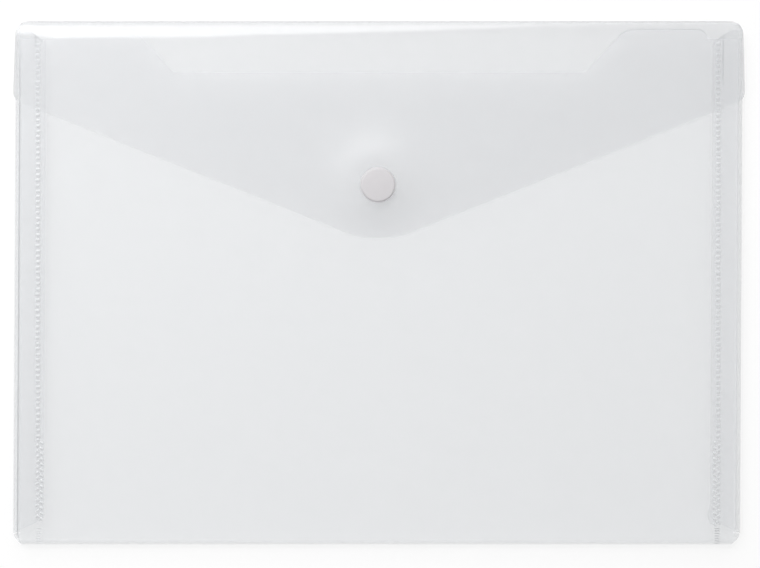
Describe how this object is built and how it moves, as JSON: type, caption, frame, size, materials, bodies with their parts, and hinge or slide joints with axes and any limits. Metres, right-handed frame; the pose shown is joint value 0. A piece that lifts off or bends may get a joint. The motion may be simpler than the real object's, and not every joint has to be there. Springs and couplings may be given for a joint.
{
  "type": "document wallet",
  "caption": "Translucent plastic envelope wallet for A4 paper: welded pocket with a thumb cut, and a pointed flap that opens on a creased spine and closes with a press stud.",
  "frame": {"origin": "middle of the wallet's box on the plan, on the table under its back panel", "axes": "+X across the wallet to the right, +Y up to the flap's fold, +Z out of the table"},
  "size_m": [0.3362, 0.241, 0.011],
  "materials": {
    "film": "frosted translucent polypropylene film, cool grey",
    "stud": "opaque satin moulded plastic, pale grey"
  },
  "bodies": {
    "pocket": {"back_panel": "film", "front_panel": "film", "bottom_fold": "film", "left_side_tab": "film", "right_side_tab": "film", "left_seam_welds": "film", "right_seam_welds": "film", "pocket_stud": "stud", "pocket_stud_cap": "stud"},
    "spine": {"flap_spine": "film"},
    "flap": {"flap": "film", "flap_stud_cap": "stud", "flap_stud_socket": "stud"}
  },
  "joints": [
    {"name": "spine_fold", "type": "hinge", "parent": "pocket", "child": "spine", "pos_m": [0, 0.12035, 0.00015], "axis": [-1, 0, 0], "range_deg": [0, 90]},
    {"name": "flap_fold", "type": "hinge", "parent": "spine", "child": "flap", "pos_m": [0, 0.12035, 0.0066], "axis": [-1, 0, 0], "range_deg": [0, 86]}
  ]
}
